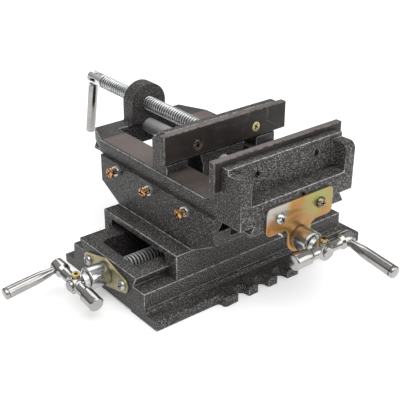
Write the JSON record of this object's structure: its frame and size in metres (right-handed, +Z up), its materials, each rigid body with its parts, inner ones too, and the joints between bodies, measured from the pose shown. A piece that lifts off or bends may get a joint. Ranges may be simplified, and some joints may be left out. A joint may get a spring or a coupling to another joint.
{
  "type": "cross slide vise",
  "caption": "Two-axis machine vise: dovetailed base, cross saddle and vise body moved by crank screws, with a fixed jaw and a screw-driven movable jaw.",
  "frame": {"origin": "middle of the base underside, on the plane that rests on the machine table", "axes": "+X along the base slide, away from its crank; +Y along the vise body, towards the clamping screw's handle; +Z up"},
  "size_m": [0.2935, 0.3621, 0.1283],
  "materials": {
    "hammertone_paint": "dark charcoal hammertone enamel on grey iron castings, with ground iron slideways",
    "ground_iron": "ground and oiled",
    "jaw_plate_steel": "dark oiled steel with ground edges",
    "yellow_zinc": "yellow passivated zinc plate",
    "chrome": "polished plate",
    "bright_zinc": "bright zinc plate",
    "brass": "turned"
  },
  "bodies": {
    "base": {"base_casting": "hammertone_paint", "lower_bearing_flange": "yellow_zinc", "lower_bearing_housing": "chrome", "lower_flange_screws": "bright_zinc"},
    "lower_drive": {"lower_leadscrew": "bright_zinc", "lower_thrust_collar": "bright_zinc", "lower_crank_bar": "chrome", "lower_crank_handle": "chrome", "lower_crank_setscrew": "brass"},
    "saddle": {"saddle_casting": "hammertone_paint", "lower_gib": "ground_iron", "lower_gib_screws": "brass", "lower_gib_nuts": "bright_zinc", "upper_gib": "ground_iron", "upper_gib_screws": "brass", "upper_gib_nuts": "bright_zinc", "lower_screw_nut": "ground_iron", "lower_nut_bolt": "bright_zinc", "upper_screw_nut": "ground_iron", "upper_nut_bolt": "bright_zinc"},
    "vise": {"vise_body": "hammertone_paint", "fixed_jaw_plate": "jaw_plate_steel", "fixed_jaw_screws": "yellow_zinc", "guide_bar": "chrome", "upper_bearing_flange": "yellow_zinc", "upper_bearing_housing": "chrome", "upper_flange_screws": "bright_zinc"},
    "upper_drive": {"upper_leadscrew": "bright_zinc", "upper_thrust_collar": "bright_zinc", "upper_crank_bar": "chrome", "upper_crank_handle": "chrome", "upper_crank_setscrew": "brass"},
    "jaw": {"movable_jaw": "hammertone_paint", "movable_jaw_plate": "jaw_plate_steel", "movable_jaw_screws": "yellow_zinc", "jaw_keeper_plate": "ground_iron", "keeper_bolts": "bright_zinc", "screw_retainer": "bright_zinc", "retainer_screws": "bright_zinc"},
    "main_drive": {"main_screw": "bright_zinc", "handle_pin": "bright_zinc"},
    "handle": {"handle_bar": "chrome"}
  },
  "joints": [
    {"name": "lower_screw_spin", "type": "hinge", "parent": "base", "child": "lower_drive", "pos_m": [-0.103, 0, 0.021], "axis": [1, 0, 0], "range_deg": [-5400, 5400]},
    {"name": "saddle_slide", "type": "slide", "parent": "base", "child": "saddle", "axis": [1, 0, 0], "range_m": [-0.045, 0.045]},
    {"name": "upper_screw_spin", "type": "hinge", "parent": "vise", "child": "upper_drive", "pos_m": [0, -0.0996, 0.06], "axis": [0, 1, 0], "range_deg": [-4560, 4560]},
    {"name": "vise_slide", "type": "slide", "parent": "saddle", "child": "vise", "axis": [0, 1, 0], "range_m": [-0.038, 0.038]},
    {"name": "main_screw_spin", "type": "hinge", "parent": "jaw", "child": "main_drive", "pos_m": [0, 0.004, 0.1095], "axis": [0, 1, 0], "range_deg": [-6300, 8700]},
    {"name": "jaw_slide", "type": "slide", "parent": "vise", "child": "jaw", "axis": [0, 1, 0], "range_m": [-0.0525, 0.0725]},
    {"name": "handle_fold", "type": "hinge", "parent": "main_drive", "child": "handle", "pos_m": [0, 0.1725, 0.1095], "axis": [1, 0, 0], "range_deg": [-11.7, 168.3]}
  ],
  "couplings": [
    {"joint": "lower_screw_spin", "follows": "saddle_slide", "rad_per_m": -2094.4},
    {"joint": "upper_screw_spin", "follows": "vise_slide", "rad_per_m": 2094.4},
    {"joint": "main_screw_spin", "follows": "jaw_slide", "rad_per_m": 2094.4}
  ]
}
